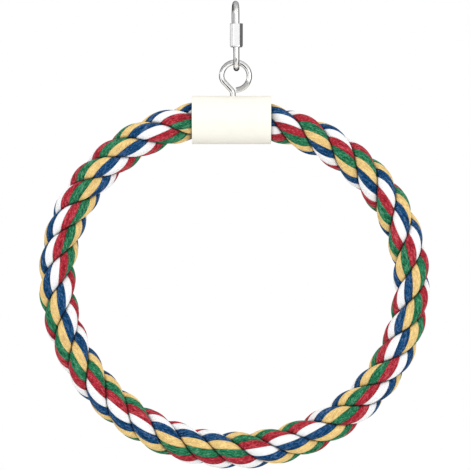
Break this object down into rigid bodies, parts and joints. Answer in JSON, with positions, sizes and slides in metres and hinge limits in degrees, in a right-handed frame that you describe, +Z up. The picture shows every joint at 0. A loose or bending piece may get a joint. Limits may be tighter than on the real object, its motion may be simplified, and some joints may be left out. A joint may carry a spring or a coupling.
{
  "type": "swing perch",
  "caption": "Hanging swing perch: a ring of thick coloured cotton rope closed by a plain sleeve, hung by an eye bolt and a screw-gate quick link.",
  "frame": {"origin": "inner top of the quick link, where the perch hangs from a hook or bar", "axes": "+Z up through the link and the ring; the ring lies in the XZ plane; -Y is its front, where the link's gate is"},
  "size_m": [0.2489, 0.0306, 0.2972],
  "materials": {
    "bright_wire": "bright zinc plate",
    "bright_nut": "bright zinc plate on cut flats",
    "plain_steel": "satin",
    "soft_metal": "crimped, satin",
    "grip_plastic": "moulded",
    "ivory_plastic": "smooth, soft sheen",
    "cotton_rope": "soft twisted cotton in five colours",
    "cloth_tape": "woven tape"
  },
  "bodies": {
    "link": {"quick_link": "bright_wire"},
    "gate_nut": {"link_nut": "bright_nut"},
    "eye": {"eye_bolt": "bright_wire", "lock_nut": "plain_steel", "lock_ring": "grip_plastic"},
    "ring": {"sleeve": "ivory_plastic", "washer": "plain_steel", "strand_1": "cotton_rope", "strand_2": "cotton_rope", "strand_3": "cotton_rope", "core_wire": "plain_steel", "core_ferrule": "soft_metal", "end_binding_left": "cloth_tape", "end_binding_right": "cloth_tape"}
  },
  "joints": [
    {"name": "gate_screw", "type": "slide", "parent": "link", "child": "gate_nut", "axis": [0, 0, 1], "range_m": [0, 0.0055]},
    {"name": "side_swing", "type": "hinge", "parent": "link", "child": "eye", "pos_m": [0.0006, 0, -0.039], "axis": [0, 1, 0], "range_deg": [-90, 90]},
    {"name": "ring_swivel", "type": "hinge", "parent": "eye", "child": "ring", "pos_m": [-0.0016, 0, -0.0567], "axis": [0, 0, 1], "continuous": true}
  ]
}
